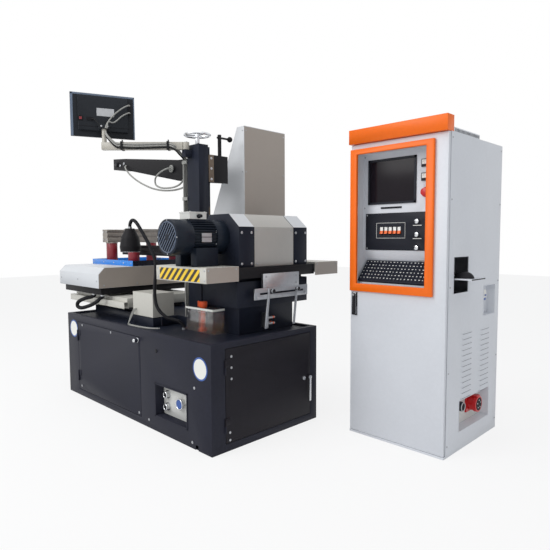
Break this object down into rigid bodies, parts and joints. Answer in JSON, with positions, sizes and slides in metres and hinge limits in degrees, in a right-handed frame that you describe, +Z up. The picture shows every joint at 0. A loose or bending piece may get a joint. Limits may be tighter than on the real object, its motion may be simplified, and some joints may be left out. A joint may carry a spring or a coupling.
{
  "type": "wire electric discharge machine",
  "caption": "Fast-wire electric discharge machine with X-Y table, wire drum, upper and lower wire arms, swinging monitor, and a separate control cabinet with console and keyboard.",
  "frame": {"origin": "centre of the underside of the machine's base, on the floor", "axes": "+X from the table to the wire drum, +Y towards the tapered cover, +Z up"},
  "size_m": [2.921, 1.7339, 2.057],
  "materials": {
    "navy_paint": "satin navy machine paint",
    "black_paint": "satin black paint",
    "pale_paint": "light grey powder coat, fine texture",
    "white_sheet": "white powder-coated sheet",
    "orange_paint": "orange powder coat",
    "steel": "machined or brushed steel",
    "chrome": "polished chrome",
    "beige_metal": "beige-grey paint",
    "blue_plastic": "blue and navy sheet, glossy",
    "red_paint": "dark red paint",
    "black_plastic": "moulded black plastic, fine grain",
    "grey_cable": "grey cable jacket",
    "clear_plastic": "clear moulded plastic",
    "orange_plastic": "moulded orange plastic",
    "red_plastic": "moulded red plastic",
    "dark_screen": "dark display front",
    "motor_paint": "satin blue-black paint"
  },
  "bodies": {
    "machine": {"base_cabinet": "navy_paint", "base_sockets": "steel", "coolant_tank": "steel", "machine_bed": "navy_paint", "column": "navy_paint", "lower_arm": "black_paint", "drum_bed": "navy_paint", "limit_switches": "steel", "oil_tank": "clear_plastic", "oil_pump": "orange_plastic", "lamp_conduit": "black_plastic", "lamp_head": "black_paint", "tower_cover": "white_sheet", "column_cables": "grey_cable", "cabinet_shell": "pale_paint", "cabinet_header": "orange_paint", "console_bay": "pale_paint", "display_screen": "dark_screen", "console_panel": "black_plastic", "keyboard": "black_plastic", "cabinet_sockets": "steel", "electronics_rack": "steel"},
    "saddle": {"saddle": "navy_paint"},
    "table": {"table_base": "black_paint", "table_tray": "white_sheet", "splash_guards": "blue_plastic", "clamp_posts": "red_paint", "clamp_bars": "steel", "table_hose": "black_plastic"},
    "carriage": {"drum_carriage": "black_paint", "carriage_covers": "white_sheet", "drum_brackets": "navy_paint", "drum_housing": "white_sheet", "drum_motor": "motor_paint", "strike_bracket": "steel"},
    "wire_drum": {"wire_drum": "steel"},
    "z_handwheel": {"z_handwheel": "chrome"},
    "upper_arm": {"upper_arm": "black_paint", "arm_cables": "grey_cable"},
    "upper_pulley": {"upper_pulley": "steel"},
    "lower_pulley": {"lower_pulley": "steel"},
    "monitor_arm": {"monitor_arm": "beige_metal", "monitor_arm_cables": "grey_cable"},
    "monitor": {"monitor_housing": "black_plastic"},
    "rear_door": {"rear_door": "navy_paint"},
    "rear_door_handle": {"rear_door_handle": "chrome"},
    "side_door": {"side_door": "navy_paint"},
    "cabinet_door": {"cabinet_door": "pale_paint", "door_frame": "orange_paint"},
    "door_lock": {"door_lock": "steel"},
    "mouse_shelf": {"mouse_shelf": "black_plastic"},
    "emergency_stop": {"emergency_stop": "red_plastic"},
    "push_button_1": {"push_button_1": "chrome"},
    "push_button_2": {"push_button_2": "chrome"},
    "push_button_3": {"push_button_3": "chrome"},
    "rocker_1": {"rocker_1": "orange_plastic"},
    "rocker_2": {"rocker_2": "orange_plastic"},
    "rocker_3": {"rocker_3": "orange_plastic"},
    "rocker_4": {"rocker_4": "orange_plastic"},
    "rocker_5": {"rocker_5": "orange_plastic"}
  },
  "joints": [
    {"name": "saddle_slide", "type": "slide", "parent": "machine", "child": "saddle", "axis": [1, 0, 0], "range_m": [-0.2, 0.07]},
    {"name": "table_slide", "type": "slide", "parent": "saddle", "child": "table", "axis": [0, 1, 0], "range_m": [-0.16, 0.035]},
    {"name": "drum_carriage_slide", "type": "slide", "parent": "machine", "child": "carriage", "axis": [0, 1, 0], "range_m": [-0.15, 0.03]},
    {"name": "drum_spin", "type": "hinge", "parent": "carriage", "child": "wire_drum", "pos_m": [0.59, 0.156, 1.165], "axis": [0, 1, 0], "continuous": true},
    {"name": "z_handwheel_turn", "type": "hinge", "parent": "machine", "child": "z_handwheel", "pos_m": [0.327, -0.0815, 1.803], "axis": [0, 0, 1], "range_deg": [-5400, 1440]},
    {"name": "upper_arm_slide", "type": "slide", "parent": "machine", "child": "upper_arm", "axis": [0, 0, 1], "range_m": [-0.15, 0.04]},
    {"name": "upper_pulley_spin", "type": "hinge", "parent": "upper_arm", "child": "upper_pulley", "pos_m": [-0.8, 0.057, 1.735], "axis": [0, 1, 0], "continuous": true},
    {"name": "lower_pulley_spin", "type": "hinge", "parent": "machine", "child": "lower_pulley", "pos_m": [-0.8, 0.057, 1.078], "axis": [0, 1, 0], "continuous": true},
    {"name": "monitor_arm_swing", "type": "hinge", "parent": "machine", "child": "monitor_arm", "pos_m": [0.3, -0.15, 1.73], "axis": [0, 0, 1], "range_deg": [-35, 50]},
    {"name": "monitor_turn", "type": "hinge", "parent": "monitor_arm", "child": "monitor", "pos_m": [-0.059, -0.5065, 1.85], "axis": [0, 0, 1], "range_deg": [-30, 30]},
    {"name": "rear_door_swing", "type": "hinge", "parent": "machine", "child": "rear_door", "pos_m": [0.8803, -0.3323, 0.305], "axis": [0, 0, -1], "range_deg": [0, 110]},
    {"name": "rear_door_handle_turn", "type": "hinge", "parent": "rear_door", "child": "rear_door_handle", "pos_m": [0.885, 0.345, 0.285], "axis": [1, 0, 0], "range_deg": [0, 90]},
    {"name": "side_door_swing", "type": "hinge", "parent": "machine", "child": "side_door", "pos_m": [-0.7053, -0.4303, 0.298], "axis": [0, 0, -1], "range_deg": [0, 100]},
    {"name": "cabinet_door_swing", "type": "hinge", "parent": "machine", "child": "cabinet_door", "pos_m": [1.755, 0.405, 0.85], "axis": [0, 0, 1], "range_deg": [0, 100]},
    {"name": "door_lock_turn", "type": "hinge", "parent": "cabinet_door", "child": "door_lock", "pos_m": [1.196, 0.382, 0.826], "axis": [0, -1, 0], "range_deg": [0, 90]},
    {"name": "mouse_shelf_slide", "type": "slide", "parent": "machine", "child": "mouse_shelf", "axis": [1, 0, 0], "range_m": [-0.085, 0]},
    {"name": "emergency_stop_press", "type": "slide", "parent": "machine", "child": "emergency_stop", "axis": [0, 1, 0], "range_m": [0, 0.005]},
    {"name": "push_button_1_press", "type": "slide", "parent": "machine", "child": "push_button_1", "axis": [0, 1, 0], "range_m": [0, 0.003], "stiffness_N_per_m": 800},
    {"name": "push_button_2_press", "type": "slide", "parent": "machine", "child": "push_button_2", "axis": [0, 1, 0], "range_m": [0, 0.003], "stiffness_N_per_m": 800},
    {"name": "push_button_3_press", "type": "slide", "parent": "machine", "child": "push_button_3", "axis": [0, 1, 0], "range_m": [0, 0.003], "stiffness_N_per_m": 800},
    {"name": "rocker_1_tip", "type": "hinge", "parent": "machine", "child": "rocker_1", "pos_m": [1.321, 0.484, 1.197], "axis": [1, 0, 0], "range_deg": [0, 16]},
    {"name": "rocker_2_tip", "type": "hinge", "parent": "machine", "child": "rocker_2", "pos_m": [1.3495, 0.484, 1.197], "axis": [1, 0, 0], "range_deg": [0, 16]},
    {"name": "rocker_3_tip", "type": "hinge", "parent": "machine", "child": "rocker_3", "pos_m": [1.378, 0.484, 1.197], "axis": [1, 0, 0], "range_deg": [0, 16]},
    {"name": "rocker_4_tip", "type": "hinge", "parent": "machine", "child": "rocker_4", "pos_m": [1.4065, 0.484, 1.197], "axis": [1, 0, 0], "range_deg": [0, 16]},
    {"name": "rocker_5_tip", "type": "hinge", "parent": "machine", "child": "rocker_5", "pos_m": [1.435, 0.484, 1.197], "axis": [1, 0, 0], "range_deg": [0, 16]}
  ],
  "couplings": [
    {"joint": "z_handwheel_turn", "follows": "upper_arm_slide", "rad_per_m": 628.32},
    {"joint": "upper_pulley_spin", "follows": "drum_spin", "ratio": 3.2},
    {"joint": "lower_pulley_spin", "follows": "drum_spin", "ratio": 3.2}
  ]
}
